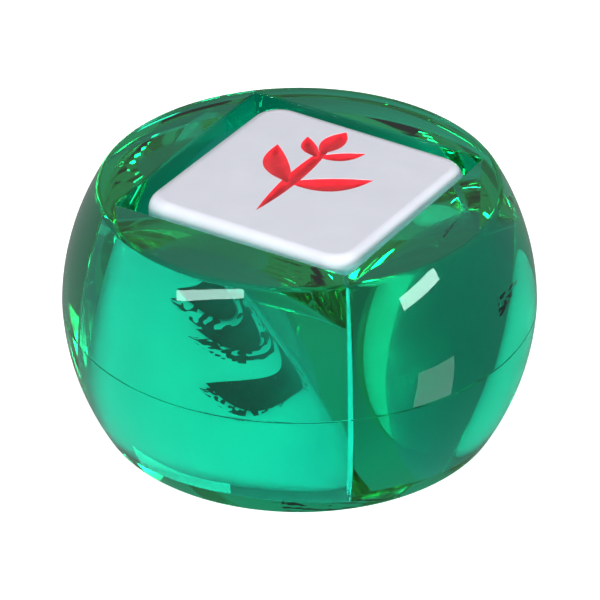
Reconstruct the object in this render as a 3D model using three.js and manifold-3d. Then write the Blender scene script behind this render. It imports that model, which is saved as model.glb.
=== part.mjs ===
// Indicator die in a clear holder. Millimetres, +Z up, origin at the centre of the underside.
//
// The holder is a ball with its top and bottom cut flat, moulded as two half shells that are
// bonded at a seam round the widest part. A square well is open at the top and closed by a
// thin floor. A loose white block lies in the well. Each face of the block has a shallow
// engraved ornament filled with enamel.
import * as THREE from 'three';
import { mergeVertices } from 'three/addons/utils/BufferGeometryUtils.js';
import Module from 'manifold-3d';

const wasm = await Module();
wasm.setup();

// Holder
const HOLDER_RADIUS = 22; // at the seam, its widest part
const HOLDER_HEIGHT = 23.8;
const FLAT_RADIUS = 18.55; // where the side's curve would meet the flat top
const RIM_ROUNDING = 0.7;
const SEAM_LEAN = THREE.MathUtils.degToRad(1.5); // how far the side leans in at the seam
const WELL_WIDTH = 24.6;
const WELL_OFFSET = { x: -0.3, y: 0.55 }; // the well is a little off the middle
const WELL_CORNER = 0.4;
const FLOOR_THICKNESS = 1.1;

// Block
const BLOCK_SIDE = 22.6;
const BLOCK_CORNER = 3; // radius of its four upright edges
const BLOCK_ROUNDING = 1.4; // of its top and bottom edges
const BLOCK_OFFSET = { x: 0.5, y: 0.4 }; // it lies towards the right and back of the well
const BLOCK_TURN = THREE.MathUtils.degToRad(-1.2);
const BLOCK_LIFT = 0.1; // clearance over the floor

// Engraving
const RECESS_DEPTH = 0.6;
const ENAMEL_BELOW_FACE = 0.2;
const ENAMEL_GAP = 0.1; // between the enamel and its recess
const TIP_GAPS = 4; // a pointed end is drawn back by this many gaps

// Fineness of the curves
const TURN_STEPS = 72;
const SIDE_STEPS = 9;
const RIM_STEPS = 4;
const LEAF_STEPS = 7;
const ROUNDING_STEPS = 5;

const SEAM_HEIGHT = HOLDER_HEIGHT / 2;
const QUARTER = Math.PI / 2;

const clearGreen = new THREE.MeshStandardMaterial({
  color: 0x00a46a, roughness: 0.05, metalness: 0, transparent: true, opacity: 0.4,
});
const whitePlastic = new THREE.MeshStandardMaterial({ color: 0xdcdce8, roughness: 0.3, metalness: 0 });
const redEnamel = new THREE.MeshStandardMaterial({ color: 0xd8202a, roughness: 0.35, metalness: 0 });

// A three.js geometry as a solid. Triangles that shrink to a line at a pole are dropped.
function solidOf(geometry) {
  const bare = geometry.clone();
  bare.deleteAttribute('normal');
  bare.deleteAttribute('uv');
  const merged = mergeVertices(bare, 1e-4);
  const index = merged.index.array;
  const triangles = [];
  for (let i = 0; i < index.length; i += 3) {
    const [a, b, c] = index.slice(i, i + 3);
    if (a !== b && b !== c && c !== a) triangles.push(a, b, c);
  }
  const mesh = new wasm.Mesh({
    numProp: 3,
    vertProperties: new Float32Array(merged.attributes.position.array),
    triVerts: new Uint32Array(triangles),
  });
  return new wasm.Manifold(mesh);
}

function geometryOf(solid) {
  const mesh = solid.getMesh();
  const geometry = new THREE.BufferGeometry();
  geometry.setAttribute('position', new THREE.BufferAttribute(new Float32Array(mesh.vertProperties), 3));
  geometry.setIndex(new THREE.BufferAttribute(new Uint32Array(mesh.triVerts), 1));
  geometry.computeVertexNormals();
  return geometry;
}

function namedMesh(name, geometry, material) {
  const mesh = new THREE.Mesh(geometry, material);
  mesh.name = name;
  return mesh;
}

// Points of an arc after its start, as [radius, height] pairs.
function arcPoints(centre, radius, from, to, steps) {
  return Array.from({ length: steps }, (_, i) => {
    const angle = from + ((to - from) * (i + 1)) / steps;
    return [centre[0] + radius * Math.cos(angle), centre[1] + radius * Math.sin(angle)];
  });
}

// Half outline of a shell above the seam: seam edge, side arc, rounded rim, flat.
function shellOutline() {
  const inset = HOLDER_RADIUS - FLAT_RADIUS;
  const chordSquared = inset ** 2 + SEAM_HEIGHT ** 2;
  const reach = inset * Math.cos(SEAM_LEAN) - SEAM_HEIGHT * Math.sin(SEAM_LEAN);
  const sideRadius = chordSquared / (2 * reach);
  const centre = [
    HOLDER_RADIUS - sideRadius * Math.cos(SEAM_LEAN),
    -sideRadius * Math.sin(SEAM_LEAN),
  ];
  const rimHeight = SEAM_HEIGHT - RIM_ROUNDING;
  const rimReach = Math.sqrt((sideRadius - RIM_ROUNDING) ** 2 - (rimHeight - centre[1]) ** 2);
  const rimCentre = [centre[0] + rimReach, rimHeight];
  const meeting = Math.atan2(rimCentre[1] - centre[1], rimReach);
  return [
    [0, 0],
    [HOLDER_RADIUS, 0],
    ...arcPoints(centre, sideRadius, SEAM_LEAN, meeting, SIDE_STEPS),
    ...arcPoints(rimCentre, RIM_ROUNDING, meeting, QUARTER, RIM_STEPS),
    [0, SEAM_HEIGHT],
  ];
}

// Half of the ball without its well, standing on the seam plane at height 0.
function halfBall() {
  const outline = shellOutline().map(([radius, height]) => new THREE.Vector2(radius, height));
  const turned = new THREE.LatheGeometry(outline, TURN_STEPS);
  turned.rotateX(QUARTER);
  return turned;
}

function squareShape(width, corner) {
  const half = width / 2;
  const arm = half - corner;
  const shape = new THREE.Shape();
  shape.moveTo(-arm, -half);
  shape.absarc(arm, -arm, corner, -QUARTER, 0);
  shape.absarc(arm, arm, corner, 0, QUARTER);
  shape.absarc(-arm, arm, corner, QUARTER, 2 * QUARTER);
  shape.absarc(-arm, -arm, corner, 2 * QUARTER, 3 * QUARTER);
  return shape;
}

// The space of the well, from its floor to above the rim, in the part's own frame.
function wellSpace() {
  const space = new THREE.ExtrudeGeometry(squareShape(WELL_WIDTH, WELL_CORNER), {
    depth: HOLDER_HEIGHT, bevelEnabled: false, curveSegments: 3,
  });
  space.translate(WELL_OFFSET.x, WELL_OFFSET.y, FLOOR_THICKNESS);
  return solidOf(space);
}

function holderShells() {
  const well = wellSpace();
  const upper = solidOf(halfBall().translate(0, 0, SEAM_HEIGHT));
  const lower = solidOf(halfBall().rotateX(Math.PI).translate(0, 0, SEAM_HEIGHT));
  return [
    namedMesh('holder_upper_shell', geometryOf(upper.subtract(well)), clearGreen),
    namedMesh('holder_lower_shell', geometryOf(lower.subtract(well)), clearGreen),
  ];
}

// One leaf of an ornament: two curves between pointed ends. bend moves its middle sideways.
function leafShape({ from, to, width, bend = 0 }, gap) {
  const start = new THREE.Vector2(...from);
  const end = new THREE.Vector2(...to);
  const along = end.clone().sub(start).normalize();
  const across = new THREE.Vector2(-along.y, along.x);
  const middle = start.clone().add(end).multiplyScalar(0.5).addScaledVector(across, bend);
  const drawnBack = gap * TIP_GAPS;
  start.addScaledVector(middle.clone().sub(start).normalize(), drawnBack);
  end.addScaledVector(middle.clone().sub(end).normalize(), drawnBack);
  const left = middle.clone().addScaledVector(across, width - 2 * gap);
  const right = middle.clone().addScaledVector(across, 2 * gap - width);
  const shape = new THREE.Shape();
  shape.moveTo(start.x, start.y);
  shape.quadraticCurveTo(right.x, right.y, end.x, end.y);
  shape.quadraticCurveTo(left.x, left.y, start.x, start.y);
  return shape;
}

// A stem with a bud and two pairs of side leaves.
const sprig = [
  { from: [-1, -7.1], to: [-1.6, 7.6], width: 1.5 },
  { from: [-1.6, 4.8], to: [-1.7, 9.6], width: 2.2 },
  { from: [-1.7, 4.2], to: [2, 7.1], width: 1.5, bend: -0.8 },
  { from: [-1.3, 4.2], to: [-4.3, 7], width: 1.5, bend: 0.8 },
  { from: [-1.6, -1.2], to: [5.2, 3.3], width: 2.4, bend: -1.6 },
  { from: [-0.9, -1.2], to: [-5.9, 4.3], width: 2.4, bend: 1.6 },
];

// Three swept leaves on a short upright spine, like a wing.
const wing = [
  { from: [3.6, -4.4], to: [3.4, 4.6], width: 1.4, bend: -1.2 },
  { from: [4.4, 3.2], to: [-5.2, 2.2], width: 2.6, bend: 2.4 },
  { from: [4.6, 0.4], to: [-3.4, -0.2], width: 1.5, bend: 1.5 },
  { from: [4.4, -2.6], to: [-2.2, -3.8], width: 2.2, bend: 1.8 },
];

// Leaves spread from one point.
function fan(count, reach, width, spread) {
  return Array.from({ length: count }, (_, i) => {
    const angle = QUARTER + spread * (i / (count - 1) - 0.5);
    const ends = [-1.2, reach].map((d) => [d * Math.cos(angle), d * Math.sin(angle) - reach / 3]);
    return { from: ends[0], to: ends[1], width };
  });
}

// Leaves round a centre, each crossing it.
function rosette(count, reach, width) {
  return Array.from({ length: count }, (_, i) => {
    const angle = (i * Math.PI) / count;
    const end = [reach * Math.cos(angle), reach * Math.sin(angle)];
    return { from: [-end[0], -end[1]], to: end, width };
  });
}

// A curved stem with a leaf on each side.
const shoot = [
  { from: [-3.6, -5.8], to: [3.2, 6.2], width: 1.5, bend: 2.6 },
  { from: [-2.2, -1.6], to: [-5.4, 5.2], width: 2.2, bend: 1.2 },
  { from: [-1.2, 0.6], to: [5.6, -1.4], width: 2.2, bend: 1.6 },
];

// The ornament of each face of the block and how the face is turned from +Z.
const faces = [
  { name: 'mark_top', ornament: sprig, turn: [0, 0, 0] },
  { name: 'mark_bottom', ornament: rosette(4, 6, 1.9), turn: [2 * QUARTER, 0, 0] },
  { name: 'mark_front', ornament: wing, turn: [QUARTER, 0, 0] },
  { name: 'mark_right', ornament: fan(5, 8, 1.7, 2.4), turn: [QUARTER, QUARTER, 0] },
  { name: 'mark_back', ornament: rosette(3, 6, 2.4), turn: [QUARTER, 2 * QUARTER, 0] },
  { name: 'mark_left', ornament: shoot, turn: [QUARTER, -QUARTER, 0] },
];

// An ornament as one solid between two heights over its face, shrunk by gap on every side.
function ornamentSolid(leaves, low, high, gap) {
  const solids = leaves.map((leaf) => {
    const plate = new THREE.ExtrudeGeometry(leafShape(leaf, gap), {
      depth: high - low, bevelEnabled: false, curveSegments: LEAF_STEPS,
    });
    return solidOf(plate.translate(0, 0, low));
  });
  return solids.reduce((whole, solid) => whole.add(solid));
}

// Places something drawn on +Z at its face of the block, whose centre is the origin.
function onFace(object, turn) {
  object.rotation.set(...turn);
  object.position.set(0, 0, BLOCK_SIDE / 2).applyEuler(object.rotation);
  object.updateMatrix();
  return object;
}

function enamelMark({ name, ornament, turn }) {
  const solid = ornamentSolid(ornament, ENAMEL_GAP - RECESS_DEPTH, -ENAMEL_BELOW_FACE, ENAMEL_GAP);
  return onFace(namedMesh(name, geometryOf(solid), redEnamel), turn);
}

// The block before it is engraved, centred on the origin.
function roundedBlock() {
  const corners = [];
  for (let i = 0; i <= ROUNDING_STEPS; i += 1) {
    const angle = (QUARTER * i) / ROUNDING_STEPS;
    const inset = BLOCK_ROUNDING * (1 - Math.cos(angle));
    const height = BLOCK_SIDE / 2 - BLOCK_ROUNDING * (1 - Math.sin(angle));
    const ring = squareShape(BLOCK_SIDE - 2 * inset, BLOCK_CORNER - inset);
    for (const { x, y } of ring.getPoints(ROUNDING_STEPS)) {
      corners.push([x, y, height], [x, y, -height]);
    }
  }
  return wasm.Manifold.hull(corners);
}

function block() {
  let solid = roundedBlock();
  for (const { ornament, turn } of faces) {
    const place = onFace(new THREE.Object3D(), turn).matrix;
    const recess = ornamentSolid(ornament, -RECESS_DEPTH, 1, 0);
    solid = solid.subtract(recess.transform(place.elements));
  }
  return namedMesh('die_block', geometryOf(solid), whitePlastic);
}

// The block and its enamel, lying in the well.
function die() {
  const group = new THREE.Group();
  group.add(block(), ...faces.map(enamelMark));
  group.rotation.z = BLOCK_TURN;
  group.position.set(
    WELL_OFFSET.x + BLOCK_OFFSET.x,
    WELL_OFFSET.y + BLOCK_OFFSET.y,
    FLOOR_THICKNESS + BLOCK_LIFT + BLOCK_SIDE / 2,
  );
  return group;
}

const object = new THREE.Group();
object.add(...holderShells(), die());

export default object;
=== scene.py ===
"""Looks of an indicator die in a clear green holder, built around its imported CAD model."""
import math

import bmesh
import bpy
from mathutils import Matrix, Vector


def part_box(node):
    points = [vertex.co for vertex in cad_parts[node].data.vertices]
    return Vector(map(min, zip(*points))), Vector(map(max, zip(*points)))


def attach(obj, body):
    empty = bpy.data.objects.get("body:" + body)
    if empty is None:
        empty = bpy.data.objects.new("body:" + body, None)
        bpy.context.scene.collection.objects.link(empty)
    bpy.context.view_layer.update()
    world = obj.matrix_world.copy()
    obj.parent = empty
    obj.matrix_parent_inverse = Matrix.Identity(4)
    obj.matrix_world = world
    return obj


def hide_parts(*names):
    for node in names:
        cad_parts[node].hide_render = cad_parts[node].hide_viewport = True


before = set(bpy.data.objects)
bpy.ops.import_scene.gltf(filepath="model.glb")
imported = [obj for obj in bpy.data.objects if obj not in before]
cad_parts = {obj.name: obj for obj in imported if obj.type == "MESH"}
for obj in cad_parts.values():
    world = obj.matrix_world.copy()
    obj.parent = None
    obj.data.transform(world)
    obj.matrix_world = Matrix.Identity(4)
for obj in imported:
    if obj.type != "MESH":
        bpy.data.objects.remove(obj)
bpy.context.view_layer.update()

MM = 0.001
QUARTER = math.pi / 2

# Places and sizes that the frame gives
upper_low, upper_high = (Vector(corner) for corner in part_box("holder_upper_shell"))
RADIUS = upper_high.x
HEIGHT = upper_high.z
SEAM = upper_low.z
CENTRE = Vector((0, 0, SEAM))

# Sizes that the frame's boxes don't give, the same as in the CAD part
FLAT_RADIUS = 18.55 * MM
RIM_ROUNDING = 0.7 * MM
SEAM_LEAN = math.radians(1.5)
WELL_WIDTH = 24.6 * MM
WELL_OFFSET = Vector((-0.3 * MM, 0.55 * MM, 0))
WELL_CORNER = 0.4 * MM
FLOOR_THICKNESS = 1.1 * MM
BLOCK_SIDE = 22.6 * MM
BLOCK_CORNER = 3 * MM
BLOCK_ROUNDING = 1.4 * MM
BLOCK_OFFSET = Vector((0.5 * MM, 0.4 * MM, 0))
BLOCK_TURN = math.radians(-1.2)
BLOCK_LIFT = 0.1 * MM

# Finer shape than the CAD part has
WELL_EDGE = 0.2 * MM
SEAM_GROOVE = 0.05 * MM
SEAM_WIDTH = 0.16 * MM
RECESS_DEPTH = 0.55 * MM
RECESS_EDGE = 0.1 * MM
ENAMEL_LAYER = 0.16 * MM
ENAMEL_BELOW = 0.025 * MM

# Carving: done in millimetres and brought back to metres, with plugs that stand proud of a face
CARVING_SCALE = Matrix.Scale(1000, 4)
PLUG_RISE = 0.4 * MM
AIR_SPREAD = 0.02 * MM
MERGE_DISTANCE = 1e-7
CHANNEL_STEEPNESS = 0.5
CHANNEL_POWER = 2.5
SHARP_ANGLE = math.radians(35)

# Fineness of the curves
SIDE_STEPS = 40
RIM_STEPS = 8
WELL_CORNER_STEPS = 12
WELL_SIDE_STEPS = 84
WELL_EDGE_STEPS = 6
BLOCK_CORNER_STEPS = 12
BLOCK_ROUNDING_STEPS = 10
LEAF_STEPS = 28
CHANNEL_STEPS = 8

VIEW_AZIMUTH = math.radians(31.1)
VIEW_ELEVATION = math.radians(31.16)
VIEW_DISTANCE = 21.64 * RADIUS
VIEW_SHIFT = Vector((0.04 * MM, -0.41 * MM, 0))
LENS = 308.3
SENSOR_WIDTH = 36
NEAREST_SEEN = 0.01

# Lamps: azimuth, elevation and roll in degrees, width and height in metres, watts, and whether
# they are seen in reflections. The gleam is that of a lamp in the table top.
LAMP_DISTANCE = 0.6
LAMPS = {
    "softbox_left": (-16, 16, 0, 0.37, 0.3, 5.6, False),
    "softbox_right": (93, 14, 0, 0.37, 0.3, 5.8, False),
    "strip_left": (-16, 20, 22, 0.37, 0.042, 0.65, True),
    "strip_right": (94.5, 15.5, 5, 0.244, 0.06, 0.75, True),
    "table_gleam": (96, -22, 0, 0.2, 0.15, 0.19, True),
}
FLOOR_RADIUS = 1.2
FLOOR_DROP = 0.02 * MM
FLOOR_SEGMENTS = 96


# ---------------------------------------------------------------- materials

def node_material(name):
    """A new material with its node tree, Principled shader and output."""
    material = bpy.data.materials.new(name)
    material.use_nodes = True
    tree = material.node_tree
    return material, tree, tree.nodes["Principled BSDF"], tree.nodes["Material Output"]


def noise(tree, scale, detail=4.0, roughness=0.55):
    """Noise over the object's own coordinates; scale is in turns per metre."""
    place = tree.nodes.new("ShaderNodeTexCoord")
    texture = tree.nodes.new("ShaderNodeTexNoise")
    texture.inputs["Scale"].default_value = scale
    texture.inputs["Detail"].default_value = detail
    texture.inputs["Roughness"].default_value = roughness
    tree.links.new(place.outputs["Object"], texture.inputs["Vector"])
    return texture.outputs["Fac"]


def ramp(tree, factor, low, high, start=0.3, end=0.7):
    """A ramp between two colours."""
    node = tree.nodes.new("ShaderNodeValToRGB")
    node.color_ramp.elements[0].position = start
    node.color_ramp.elements[0].color = (*low, 1)
    node.color_ramp.elements[1].position = end
    node.color_ramp.elements[1].color = (*high, 1)
    tree.links.new(factor, node.inputs["Fac"])
    return node.outputs["Color"]


def bump(tree, height, strength, distance):
    """A bump normal from a height."""
    node = tree.nodes.new("ShaderNodeBump")
    node.inputs["Strength"].default_value = strength
    node.inputs["Distance"].default_value = distance
    tree.links.new(height, node.inputs["Height"])
    return node.outputs["Normal"]


def clear_green_plastic():
    """Clear plastic tinted by its depth, a little wavy, with small dull specks of wear."""
    material, tree, shader, output = node_material("clear_green_plastic")
    shader.inputs["Base Color"].default_value = (0.22, 1, 0.83, 1)
    shader.inputs["Transmission Weight"].default_value = 1
    shader.inputs["IOR"].default_value = 1.57
    shader.inputs["Specular Tint"].default_value = (0.5, 0.78, 0.7, 1)
    grain = noise(tree, scale=1500, detail=6, roughness=0.7)
    specks = ramp(tree, grain, (0, 0, 0), (0.12, 0.12, 0.12), start=0.66, end=0.74)
    tree.links.new(specks, shader.inputs["Roughness"])
    waves = bump(tree, noise(tree, scale=140, detail=2), strength=0.2, distance=0.02 * MM)
    tree.links.new(waves, shader.inputs["Normal"])
    absorption = tree.nodes.new("ShaderNodeVolumeAbsorption")
    absorption.inputs["Color"].default_value = (0, 0.959, 0.89, 1)
    absorption.inputs["Density"].default_value = 225
    tree.links.new(absorption.outputs["Volume"], output.inputs["Volume"])
    return material


def white_plastic():
    """Satin white plastic, slightly mottled."""
    material, tree, shader, _ = node_material("white_plastic")
    colour = ramp(tree, noise(tree, scale=260), (0.56, 0.57, 0.64), (0.60, 0.61, 0.67))
    tree.links.new(colour, shader.inputs["Base Color"])
    shader.inputs["Roughness"].default_value = 0.32
    grain = bump(tree, noise(tree, scale=1800), strength=0.15, distance=0.02 * MM)
    tree.links.new(grain, shader.inputs["Normal"])
    return material


def red_enamel():
    """Satin red enamel, a little uneven."""
    material, tree, shader, _ = node_material("red_enamel")
    colour = ramp(tree, noise(tree, scale=900), (0.60, 0.012, 0.022), (0.78, 0.02, 0.035))
    tree.links.new(colour, shader.inputs["Base Color"])
    shader.inputs["Roughness"].default_value = 0.35
    grain = bump(tree, noise(tree, scale=1500), strength=0.12, distance=0.02 * MM)
    tree.links.new(grain, shader.inputs["Normal"])
    return material


# ------------------------------------------------------------------- holder

def arc(centre, radius, start, end, steps):
    """Points of an arc in a half plane, each with its outward normal: (radius, height, normal)."""
    for i in range(steps + 1):
        angle = start + (end - start) * i / steps
        normal = (math.cos(angle), math.sin(angle))
        yield centre[0] + radius * normal[0], centre[1] + radius * normal[1], normal


def side_profile():
    """Half outline above the seam: the side arc and the rounded rim, as two smooth runs."""
    inset = RADIUS - FLAT_RADIUS
    rise = HEIGHT - SEAM
    reach = inset * math.cos(SEAM_LEAN) - rise * math.sin(SEAM_LEAN)
    side_radius = (inset**2 + rise**2) / (2 * reach)
    centre = (RADIUS - side_radius * math.cos(SEAM_LEAN), -side_radius * math.sin(SEAM_LEAN))
    rim_height = rise - RIM_ROUNDING
    rim_reach = math.sqrt((side_radius - RIM_ROUNDING) ** 2 - (rim_height - centre[1]) ** 2)
    rim_centre = (centre[0] + rim_reach, rim_height)
    meeting = math.atan2(rim_centre[1] - centre[1], rim_reach)
    groove = math.asin(SEAM_WIDTH / 2 / side_radius)
    side = list(arc(centre, side_radius, SEAM_LEAN + groove, meeting, SIDE_STEPS))
    rim = list(arc(rim_centre, RIM_ROUNDING, meeting, QUARTER, RIM_STEPS))
    return side + rim[1:]


def square_ring(width, corner, corner_steps, side_steps):
    """Points and outward normals of a square with rounded corners, starting on its right side."""
    half = width / 2
    arm = half - corner
    points = []
    for k in range(4):
        turn = Matrix.Rotation(k * QUARTER, 2)
        for i in range(side_steps):
            along = -arm + 2 * arm * i / side_steps
            points.append((turn @ Vector((half, along)), turn @ Vector((1, 0))))
        for i in range(corner_steps):
            angle = QUARTER * i / corner_steps
            normal = Vector((math.cos(angle), math.sin(angle)))
            points.append((turn @ (Vector((arm, arm)) + corner * normal), turn @ normal))
    return points


def round_rings(angles, outline):
    """Rings of a turned surface: (positions, normals) at each outline point (radius, z, normal)."""
    for radius, z, (out, up) in outline:
        places = [Vector((radius * c, radius * s, z)) for c, s in angles]
        normals = [Vector((out * c, out * s, up)) for c, s in angles]
        yield places, normals


def holder_runs():
    """The surface of the holder as runs of rings; normals are smooth within a run."""
    ring = square_ring(WELL_WIDTH, WELL_CORNER, WELL_CORNER_STEPS, WELL_SIDE_STEPS)
    well = [(p + WELL_OFFSET.xy, n) for p, n in ring]
    angles = [tuple(p.normalized()) for p, _ in well]
    upper = side_profile()
    above = [(r, SEAM + z, n) for r, z, n in upper]
    below = [(r, SEAM - z, (n[0], -n[1])) for r, z, n in reversed(upper)]
    groove = RADIUS - SEAM_GROOVE
    slope = Vector((SEAM_WIDTH / 2, SEAM_GROOVE)).normalized()
    into = [below[-1][:2] + ((slope.x, slope.y),), (groove, SEAM, (slope.x, slope.y))]
    out_of = [(groove, SEAM, (slope.x, -slope.y)), above[0][:2] + ((slope.x, -slope.y),)]
    for outline in (below, into, out_of, above):
        yield list(round_rings(angles, outline))
    up = Vector((0, 0, 1))
    rim_circle = [Vector((c * above[-1][0], s * above[-1][0], HEIGHT)) for c, s in angles]
    edge = []
    for i in range(WELL_EDGE_STEPS + 1):
        angle = QUARTER * i / WELL_EDGE_STEPS
        inward, rise = math.sin(angle), math.cos(angle)
        places = [
            Vector((*(p + n * WELL_EDGE * (1 - inward)), HEIGHT - WELL_EDGE * (1 - rise)))
            for p, n in well
        ]
        edge.append((places, [Vector((*(-n * inward), rise)) for _, n in well]))
    yield [(rim_circle, [up] * len(angles)), edge[0]]
    yield edge
    floor = [Vector((*p, FLOOR_THICKNESS)) for p, _ in well]
    walls = [Vector((*-n, 0)) for _, n in well]
    yield [(edge[-1][0], walls), (floor, walls)]


def holder_mesh():
    """One closed mesh with its normals set run by run."""
    verts, faces, normals, seen = [], [], [], {}

    def corner(place):
        key = tuple(round(x, 9) for x in place)
        if key not in seen:
            seen[key] = len(verts)
            verts.append(place)
        return seen[key]

    def face(corners):
        faces.append([corner(place) for place, _ in corners])
        normals.extend(normal for _, normal in corners)

    runs = list(holder_runs())
    for run in runs:
        for (low, low_n), (high, high_n) in zip(run, run[1:]):
            count = len(low)
            for i in range(count):
                j = (i + 1) % count
                near = [(low[i], low_n[i]), (low[j], low_n[j])]
                far = [(high[j], high_n[j]), (high[i], high_n[i])]
                face(near + far)
    base = runs[0][0][0]
    down, up = Vector((0, 0, -1)), Vector((0, 0, 1))
    floor = runs[-1][-1][0]
    for ring, normal, height in ((base[::-1], down, 0.0), (floor, up, FLOOR_THICKNESS)):
        middle = Vector((0, 0, height))
        for i in range(len(ring)):
            face([(ring[i], normal), (ring[(i + 1) % len(ring)], normal), (middle, normal)])
    mesh = bpy.data.meshes.new("clear_holder")
    mesh.from_pydata(verts, [], faces)
    mesh.shade_smooth()
    mesh.normals_split_custom_set([n.normalized() for n in normals])
    mesh.update()
    return mesh


def add_piece(name, mesh, material, body, nodes):
    """Puts a finished mesh in the scene as the piece that stands for some CAD nodes."""
    piece = bpy.data.objects.new(name, mesh)
    bpy.context.scene.collection.objects.link(piece)
    piece.data.materials.clear()
    piece.data.materials.append(material)
    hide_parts(*nodes)
    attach(piece, body)
    return piece


# ---------------------------------------------------------------- ornaments
# Leaves in millimetres on a face of the block, the same as in the CAD part.

def leaf(start, end, width, bend=0.0):
    """A pointed leaf between two ends; bend moves its middle sideways."""
    return Vector(start) * MM, Vector(end) * MM, width * MM, bend * MM


def fan(count, reach, width, spread):
    """Leaves spread from one point."""
    for i in range(count):
        angle = math.pi / 2 + spread * (i / (count - 1) - 0.5)
        ray = Vector((math.cos(angle), math.sin(angle)))
        shift = Vector((0, reach / 3))
        yield leaf(ray * -1.2 - shift, ray * reach - shift, width)


def rosette(count, reach, width):
    """Leaves round a centre, each crossing it."""
    for i in range(count):
        ray = Vector((math.cos(i * math.pi / count), math.sin(i * math.pi / count)))
        yield leaf(-ray * reach, ray * reach, width)


SPRIG = [
    leaf((-1, -7.1), (-1.6, 7.6), 1.5),
    leaf((-1.6, 4.8), (-1.7, 9.6), 2.2),
    leaf((-1.7, 4.2), (2, 7.1), 1.5, -0.8),
    leaf((-1.3, 4.2), (-4.3, 7), 1.5, 0.8),
    leaf((-1.6, -1.2), (5.2, 3.3), 2.4, -1.6),
    leaf((-0.9, -1.2), (-5.9, 4.3), 2.4, 1.6),
]
WING = [
    leaf((3.6, -4.4), (3.4, 4.6), 1.4, -1.2),
    leaf((4.4, 3.2), (-5.2, 2.2), 2.6, 2.4),
    leaf((4.6, 0.4), (-3.4, -0.2), 1.5, 1.5),
    leaf((4.4, -2.6), (-2.2, -3.8), 2.2, 1.8),
]
SHOOT = [
    leaf((-3.6, -5.8), (3.2, 6.2), 1.5, 2.6),
    leaf((-2.2, -1.6), (-5.4, 5.2), 2.2, 1.2),
    leaf((-1.2, 0.6), (5.6, -1.4), 2.2, 1.6),
]
FACES = {
    "top": (SPRIG, (0, 0, 0)),
    "bottom": (list(rosette(4, 6, 1.9)), (2 * QUARTER, 0, 0)),
    "front": (WING, (QUARTER, 0, 0)),
    "right": (list(fan(5, 8, 1.7, 2.4)), (QUARTER, 0, QUARTER)),
    "back": (list(rosette(3, 6, 2.4)), (QUARTER, 0, 2 * QUARTER)),
    "left": (SHOOT, (QUARTER, 0, -QUARTER)),
}


def block_matrix():
    """Where the block lies: its centre and its small turn."""
    rise = Vector((0, 0, FLOOR_THICKNESS + BLOCK_LIFT + BLOCK_SIDE / 2))
    middle = WELL_OFFSET + BLOCK_OFFSET + rise
    return Matrix.Translation(middle) @ Matrix.Rotation(BLOCK_TURN, 4, "Z")


def face_matrix(turn):
    """From a face's own plane to the block's frame."""
    rx, ry, rz = turn
    spin = Matrix.Rotation(rz, 4, "Z") @ Matrix.Rotation(rx, 4, "X")
    return spin @ Matrix.Translation((0, 0, BLOCK_SIDE / 2))


def carve(bm, the_leaf, spread, depth_at, top, steps=LEAF_STEPS, across=CHANNEL_STEPS):
    """Adds one leaf-shaped plug whose underside follows depth_at(width there, place across)."""
    start, end, width, bend = the_leaf
    along = (end - start).normalized()
    side = Vector((-along.y, along.x))
    middle = (start + end) / 2 + side * bend
    start = start - (middle - start).normalized() * spread
    end = end + (end - middle).normalized() * spread
    below, above = [], []
    for i in range(steps + 1):
        t = i / steps
        spine = (1 - t) ** 2 * start + 2 * t * (1 - t) * middle + t**2 * end
        half = 2 * t * (1 - t) * (width + spread)
        row_low, row_high = [], []
        for j in range(across + 1):
            s = 2 * j / across - 1
            place = spine + side * half * s
            row_low.append(bm.verts.new((place.x, place.y, -depth_at(2 * half, s))))
            row_high.append(bm.verts.new((place.x, place.y, top)))
        below.append(row_low)
        above.append(row_high)
    for i in range(steps):
        for j in range(across):
            bm.faces.new((below[i][j], below[i + 1][j], below[i + 1][j + 1], below[i][j + 1]))
            bm.faces.new((above[i][j], above[i][j + 1], above[i + 1][j + 1], above[i + 1][j]))
        bm.faces.new((below[i][0], above[i][0], above[i + 1][0], below[i + 1][0]))
        bm.faces.new((below[i][across], below[i + 1][across], above[i + 1][across], above[i][across]))


def plugs(name, leaves, turn, spread, depth_at):
    """A scratch object holding the plugs of one face, placed on the block."""
    bm = bmesh.new()
    rise = PLUG_RISE
    for one in leaves:
        carve(bm, one, spread, depth_at, rise)
    bmesh.ops.remove_doubles(bm, verts=bm.verts, dist=MERGE_DISTANCE)
    bmesh.ops.dissolve_degenerate(bm, edges=bm.edges, dist=MERGE_DISTANCE)
    bmesh.ops.recalc_face_normals(bm, faces=bm.faces)
    bmesh.ops.triangulate(bm, faces=bm.faces)
    mesh = bpy.data.meshes.new(name)
    bm.to_mesh(mesh)
    bm.free()
    mesh.transform(CARVING_SCALE @ block_matrix() @ face_matrix(turn))
    scratch = bpy.data.objects.new(name, mesh)
    bpy.context.scene.collection.objects.link(scratch)
    return scratch


def boolean(target, tool, operation):
    """Cuts or joins and applies the result to target."""
    step = target.modifiers.new("cut", "BOOLEAN")
    step.operation = operation
    step.object = tool
    step.solver = "EXACT"
    step.use_self = True
    apply_modifiers(target)


def apply_modifiers(piece):
    """Replaces a piece's mesh by its evaluated one."""
    evaluated = piece.evaluated_get(bpy.context.evaluated_depsgraph_get())
    mesh = bpy.data.meshes.new_from_object(evaluated)
    piece.modifiers.clear()
    piece.data = mesh


def drop(piece):
    """Removes a scratch object."""
    bpy.data.objects.remove(piece, do_unlink=True)


def channel_depth(width, s):
    """Depth of the engraved channel, shallow where it is narrow."""
    deepest = min(RECESS_DEPTH, CHANNEL_STEEPNESS * width)
    return RECESS_EDGE + (deepest - min(deepest, RECESS_EDGE)) * (1 - abs(s) ** CHANNEL_POWER)


def grooved_surface(width, s):
    """Depth of enamel that follows the channel, as on top."""
    return max(channel_depth(width, s) - ENAMEL_LAYER, ENAMEL_BELOW)


def level_surface(width, s):
    """Depth of enamel that fills the channel."""
    return ENAMEL_BELOW


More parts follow.
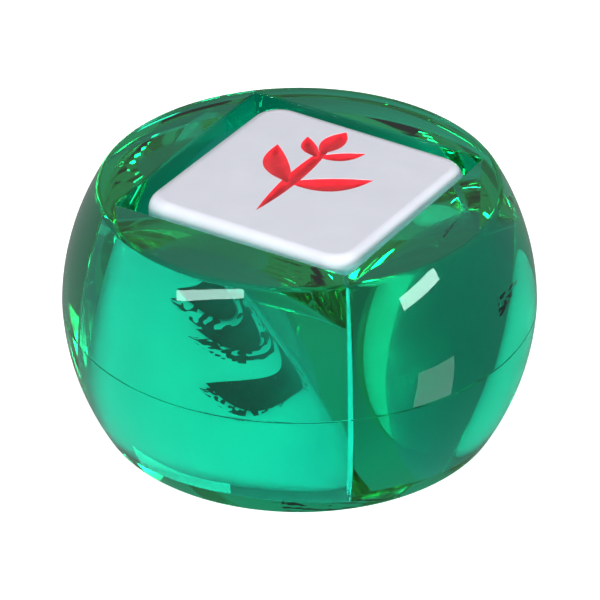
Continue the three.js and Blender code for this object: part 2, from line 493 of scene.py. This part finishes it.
def rounded_block():
    """The block before it is engraved; its upright edges are rounder than the others."""
    levels = []
    for i in range(BLOCK_ROUNDING_STEPS + 1):
        angle = QUARTER * i / BLOCK_ROUNDING_STEPS
        inset = BLOCK_ROUNDING * (1 - math.sin(angle))
        levels.append((inset, BLOCK_SIDE / 2 - BLOCK_ROUNDING * (1 - math.cos(angle))))
    outline = [(inset, -z) for inset, z in levels] + [(inset, z) for inset, z in reversed(levels)]
    bm = bmesh.new()
    rings = []
    for inset, z in outline:
        ring = square_ring(BLOCK_SIDE - 2 * inset, BLOCK_CORNER - inset, BLOCK_CORNER_STEPS, 1)
        rings.append([bm.verts.new((p.x, p.y, z)) for p, _ in ring])
    for low, high in zip(rings, rings[1:]):
        for i in range(len(low)):
            j = (i + 1) % len(low)
            bm.faces.new((low[i], low[j], high[j], high[i]))
    bm.faces.new(rings[0][::-1])
    bm.faces.new(rings[-1])
    mesh = bpy.data.meshes.new("rounded_block")
    bm.to_mesh(mesh)
    bm.free()
    mesh.transform(CARVING_SCALE @ block_matrix())
    block = bpy.data.objects.new("rounded_block", mesh)
    bpy.context.scene.collection.objects.link(block)
    return block


def soften(piece):
    """Smooth shading that keeps flat faces flat and folds over SHARP_ANGLE sharp."""
    piece.data.shade_smooth()
    piece.data.set_sharp_from_angle(angle=SHARP_ANGLE)
    weighted = piece.modifiers.new("weighted", "WEIGHTED_NORMAL")
    weighted.keep_sharp = True
    weighted.weight = 100
    apply_modifiers(piece)


def make_die(white, red):
    """The engraved block and its six enamel marks."""
    block = rounded_block()
    for side, (leaves, turn) in FACES.items():
        mark = plugs("mark", leaves, turn, 0.0, channel_depth)
        surface = grooved_surface if side == "top" else level_surface
        air = plugs("air", leaves, turn, AIR_SPREAD, surface)
        boolean(block, mark, "DIFFERENCE")
        boolean(mark, air, "DIFFERENCE")
        soften(mark)
        drop(air)
        mark.data.transform(CARVING_SCALE.inverted())
        add_piece(f"enamel_{side}", mark.data, red, "die", [f"mark_{side}"])
        drop(mark)
    soften(block)
    block.data.transform(CARVING_SCALE.inverted())
    add_piece("engraved_block", block.data, white, "die", ["die_block"])
    drop(block)


# -------------------------------------------------------------------- stage

def direction(azimuth, elevation):
    """A unit vector; azimuth 0 is towards -Y and turns towards +X."""
    level = math.cos(elevation)
    return Vector((math.sin(azimuth) * level, -math.cos(azimuth) * level, math.sin(elevation)))


def add_camera():
    """The photo's view: a long lens, aimed a little below the holder's middle."""
    data = bpy.data.cameras.new("camera")
    data.lens = LENS
    data.sensor_width = SENSOR_WIDTH
    data.clip_start = NEAREST_SEEN
    camera = bpy.data.objects.new("camera", data)
    bpy.context.scene.collection.objects.link(camera)
    towards = direction(VIEW_AZIMUTH, VIEW_ELEVATION)
    rotation = towards.to_track_quat("Z", "Y")
    aim = CENTRE + rotation @ VIEW_SHIFT
    camera.location = aim + towards * VIEW_DISTANCE
    camera.rotation_euler = rotation.to_euler()
    bpy.context.scene.camera = camera


def add_softbox(name, azimuth, elevation, roll, width, height, power, mirrored):
    """A soft rectangular lamp that faces the holder, seen in reflections or not."""
    data = bpy.data.lights.new(name, "AREA")
    data.shape = "RECTANGLE"
    data.size = width
    data.size_y = height
    data.energy = power
    lamp = bpy.data.objects.new(name, data)
    bpy.context.scene.collection.objects.link(lamp)
    towards = direction(math.radians(azimuth), math.radians(elevation))
    lamp.location = CENTRE + towards * LAMP_DISTANCE
    spin = Matrix.Rotation(math.radians(roll), 3, "Z")
    lamp.rotation_euler = (towards.to_track_quat("Z", "Y").to_matrix() @ spin).to_euler()
    lamp.visible_glossy = mirrored


def add_floor():
    """A plain pale floor that only the camera sees, which keeps haze off the plastic."""
    bm = bmesh.new()
    bmesh.ops.create_circle(bm, cap_ends=True, segments=FLOOR_SEGMENTS, radius=FLOOR_RADIUS)
    mesh = bpy.data.meshes.new("floor")
    bm.to_mesh(mesh)
    bm.free()
    floor = bpy.data.objects.new("floor", mesh)
    floor.location.z = -FLOOR_DROP
    bpy.context.scene.collection.objects.link(floor)
    material, _, shader, _ = node_material("pale_floor")
    shader.inputs["Base Color"].default_value = (0.92, 0.92, 0.92, 1)
    shader.inputs["Roughness"].default_value = 0.9
    shader.inputs["Emission Color"].default_value = (1, 1, 1, 1)
    shader.inputs["Emission Strength"].default_value = 0.45
    floor.visible_glossy = False
    floor.visible_transmission = False
    floor.visible_diffuse = False
    floor.data.materials.append(material)


def add_surround():
    """A soft grey surround, lighter above and to the left of the view."""
    world = bpy.data.worlds.new("surround")
    world.use_nodes = True
    tree = world.node_tree
    place = tree.nodes.new("ShaderNodeTexCoord")
    along = tree.nodes.new("ShaderNodeVectorMath")
    along.operation = "DOT_PRODUCT"
    along.inputs[1].default_value = (-0.43, -0.26, 0.85)
    spread = tree.nodes.new("ShaderNodeMapRange")
    spread.inputs["From Min"].default_value = -1
    tree.links.new(place.outputs["Generated"], along.inputs[0])
    tree.links.new(along.outputs["Value"], spread.inputs["Value"])
    dark, light = (0.15, 0.15, 0.15), (0.38, 0.38, 0.38)
    shade = ramp(tree, spread.outputs["Result"], dark, light, start=0.1, end=0.6)
    tree.links.new(shade, tree.nodes["Background"].inputs["Color"])
    bpy.context.scene.world = world


def add_stage():
    """Floor, surround, lamps, and enough bounces for light in the clear plastic."""
    add_floor()
    add_surround()
    for name, lamp in LAMPS.items():
        add_softbox(name, *lamp)
    bpy.context.scene.view_settings.view_transform = "Standard"
    cycles = bpy.context.scene.cycles
    cycles.max_bounces = 32
    cycles.transmission_bounces = 32
    cycles.glossy_bounces = 24


add_camera()
add_stage()
green = clear_green_plastic()
shells = ["holder_upper_shell", "holder_lower_shell"]
add_piece("clear_holder", holder_mesh(), green, "holder", shells)
make_die(white_plastic(), red_enamel())
